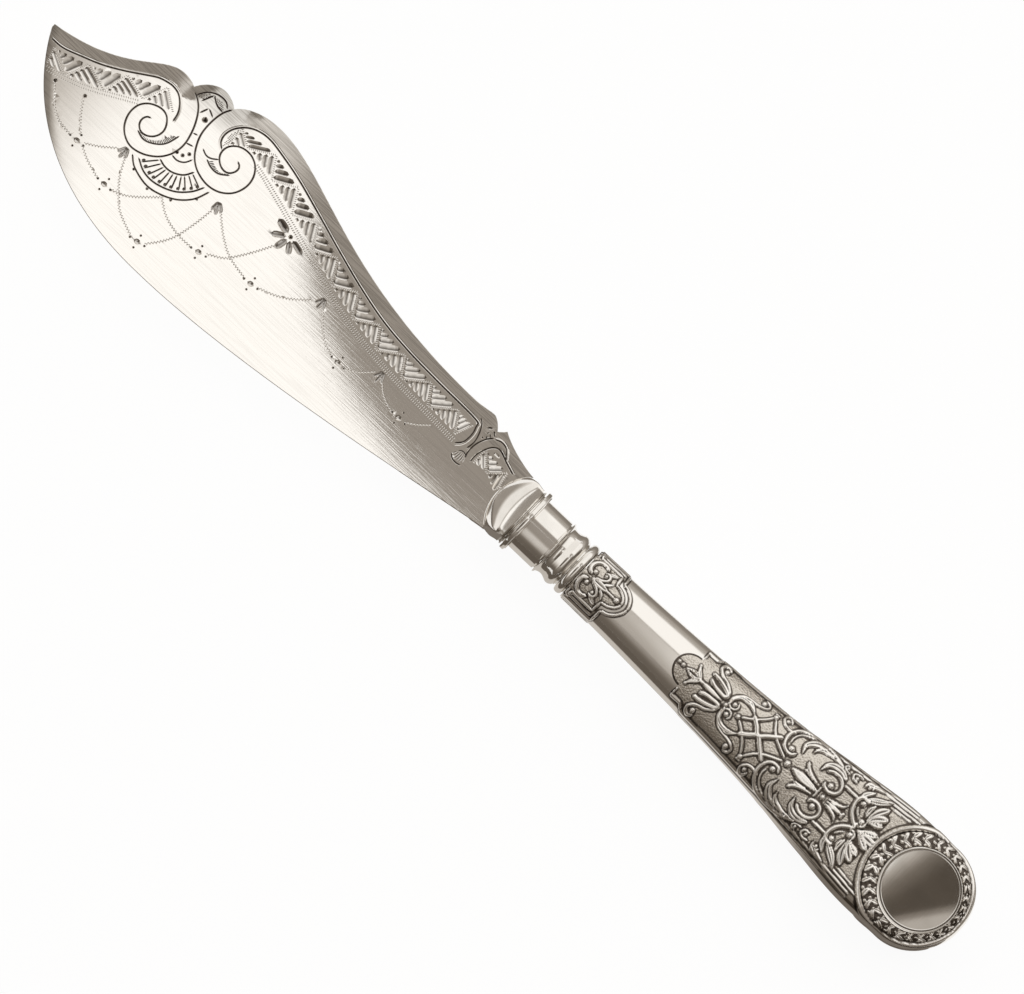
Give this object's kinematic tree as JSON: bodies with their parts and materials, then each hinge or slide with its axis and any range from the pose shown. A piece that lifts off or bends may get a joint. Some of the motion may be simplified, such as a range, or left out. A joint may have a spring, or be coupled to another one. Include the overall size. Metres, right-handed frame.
{
  "type": "ice cream server",
  "caption": "Hand-held serving blade with a scrolled back and a curved cutting edge, on a round-necked hollow handle that widens to a flat roundel.",
  "frame": {"origin": "centre of the bounding box in X and Y, at the plane the server lies on (Z = 0)", "axes": "+X from the blade's tip to the handle's end, +Y towards the blade's scrolled back, +Z out of the blade's engraved front face"},
  "size_m": [0.3194, 0.0514, 0.0164],
  "materials": {
    "blade": "burnished silver, engraved",
    "bolster": "polished silver",
    "flange_front_plate": "polished silver",
    "flange_rear_plate": "polished silver",
    "neck_sleeve": "polished silver",
    "ferrule": "polished silver",
    "ferrule_ring": "polished silver",
    "tang": "plain steel",
    "handle_front_shell": "die-struck silver, dark in the recesses",
    "handle_back_shell": "die-struck silver, dark in the recesses",
    "pitch_filling": "dull cutler's pitch",
    "front_roundel": "mirror-polished silver",
    "back_roundel": "mirror-polished silver",
    "front_wreath": "chased silver",
    "back_wreath": "chased silver"
  },
  "bodies": {
    "root": {"blade": "blade", "bolster": "bolster", "flange_front_plate": "flange_front_plate", "flange_rear_plate": "flange_rear_plate", "neck_sleeve": "neck_sleeve", "ferrule": "ferrule", "ferrule_ring": "ferrule_ring", "tang": "tang", "handle_front_shell": "handle_front_shell", "handle_back_shell": "handle_back_shell", "pitch_filling": "pitch_filling", "front_roundel": "front_roundel", "back_roundel": "back_roundel", "front_wreath": "front_wreath", "back_wreath": "back_wreath"}
  },
  "joints": []
}
